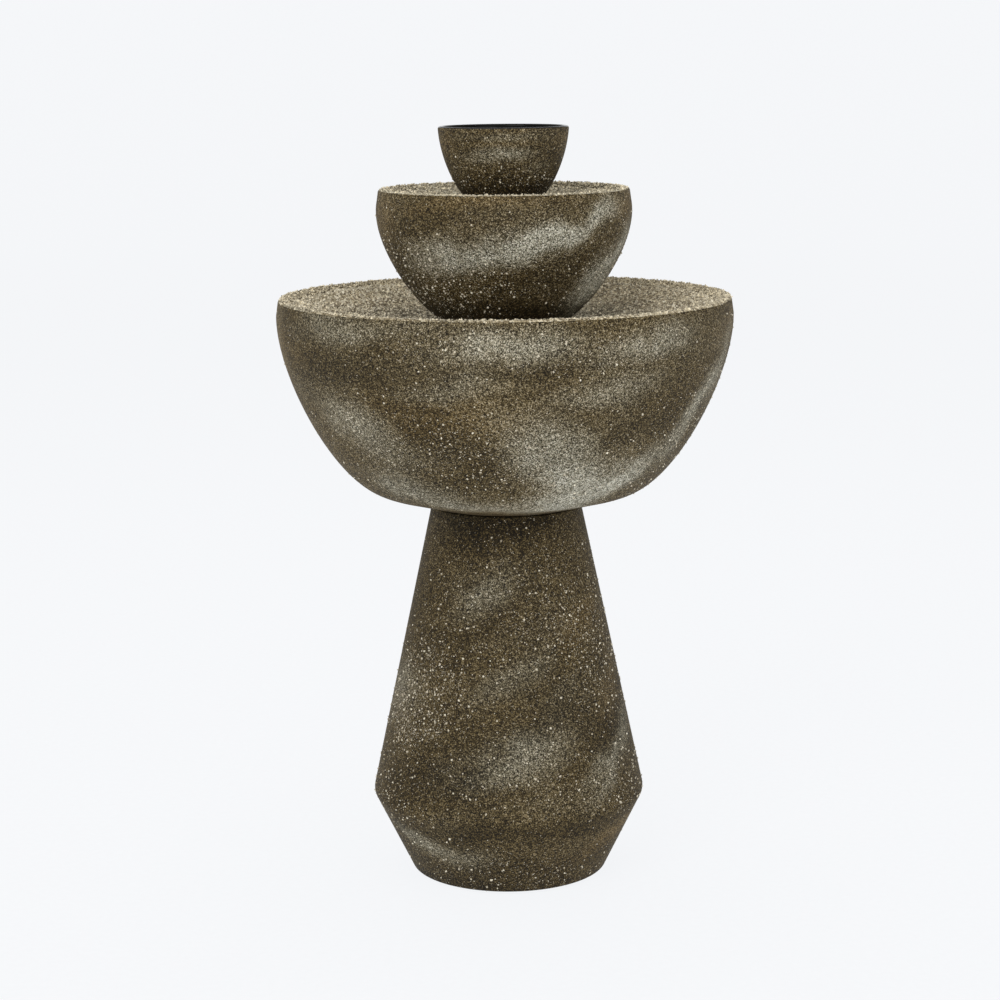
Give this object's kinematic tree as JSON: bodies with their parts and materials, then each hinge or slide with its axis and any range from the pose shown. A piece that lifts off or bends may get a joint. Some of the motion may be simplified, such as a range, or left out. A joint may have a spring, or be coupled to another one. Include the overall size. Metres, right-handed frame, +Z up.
{
  "type": "tabletop water fountain",
  "caption": "Tabletop water fountain: stacked round bowls on a flared pedestal, with a hidden pump that lifts water through a riser to the top bowl.",
  "frame": {"origin": "centre of the pedestal's base on the surface it stands on", "axes": "+Z up along the fountain's axis, -Y the front, +Y the back with the power socket, +X to the right seen from the front"},
  "size_m": [0.24, 0.24, 0.4],
  "materials": {
    "stone": "mottled bronze-brown stone coating with silver-grey clouds and fine cream specks, semi-matt",
    "grit": "dense beige and brown grit bonded to the surface, matt",
    "black_plastic": "moulded, fine texture",
    "grey_plastic": "moulded, satin",
    "rubber": "matt black",
    "hose": "milky soft plastic",
    "brass": "machined, slightly dull",
    "steel": "bright zinc",
    "shaft_ceramic": "ground white",
    "magnet": "black moulding over a magnet"
  },
  "bodies": {
    "pedestal": {"pedestal_shell": "stone", "base_cover": "black_plastic", "base_screw_1": "steel", "base_screw_2": "steel", "base_screw_3": "steel", "base_screw_4": "steel", "foot_pad_1": "rubber", "foot_pad_2": "rubber", "foot_pad_3": "rubber", "foot_pad_4": "rubber", "power_socket": "black_plastic", "power_socket_nut": "steel", "pump_lead": "rubber", "bulkhead_fitting": "brass", "bulkhead_gasket": "rubber", "bulkhead_washer": "steel", "bulkhead_nut": "brass", "gland_bung": "rubber", "gland_cap": "black_plastic", "lower_bowl": "stone", "pump_body": "black_plastic", "rotor_shaft": "shaft_ceramic", "bush_rear": "rubber", "bush_front": "rubber", "volute_cover": "grey_plastic", "suction_cup_1": "rubber", "suction_cup_2": "rubber", "suction_cup_3": "rubber", "suction_cup_4": "rubber", "riser_hose": "hose"},
    "rotor": {"pump_rotor": "magnet"},
    "intake": {"intake_cover": "black_plastic"},
    "dial": {"flow_dial": "grey_plastic"},
    "stand": {"pump_stand": "grey_plastic", "riser_socket": "black_plastic", "socket_gasket": "rubber", "socket_nut": "black_plastic"},
    "tray": {"lower_tray": "grit"},
    "middle": {"middle_bowl": "stone", "middle_tray": "grit", "standpipe": "brass", "standpipe_gasket": "rubber", "standpipe_nut": "brass", "standpipe_o_ring": "rubber"},
    "top": {"top_bowl": "stone", "nozzle": "brass", "nozzle_gasket": "rubber", "nozzle_nut": "brass"}
  },
  "joints": [
    {"name": "rotor_spin", "type": "hinge", "parent": "pedestal", "child": "rotor", "pos_m": [0.01, 0, 0.2305], "axis": [1, 0, 0], "continuous": true},
    {"name": "intake_pull", "type": "slide", "parent": "pedestal", "child": "intake", "axis": [-1, 0, 0], "range_m": [0, 0.014]},
    {"name": "dial_turn", "type": "hinge", "parent": "intake", "child": "dial", "pos_m": [-0.0193, 0, 0.2305], "axis": [1, 0, 0], "range_deg": [0, 90]},
    {"name": "stand_lift", "type": "slide", "parent": "pedestal", "child": "stand", "axis": [0, 0, 1], "range_m": [0, 0.12]},
    {"name": "tray_lift", "type": "slide", "parent": "stand", "child": "tray", "axis": [0, 0, 1], "range_m": [0, 0.06]},
    {"name": "middle_lift", "type": "slide", "parent": "tray", "child": "middle", "axis": [0, 0, 1], "range_m": [0, 0.08]},
    {"name": "top_lift", "type": "slide", "parent": "middle", "child": "top", "axis": [0, 0, 1], "range_m": [0, 0.08]}
  ]
}
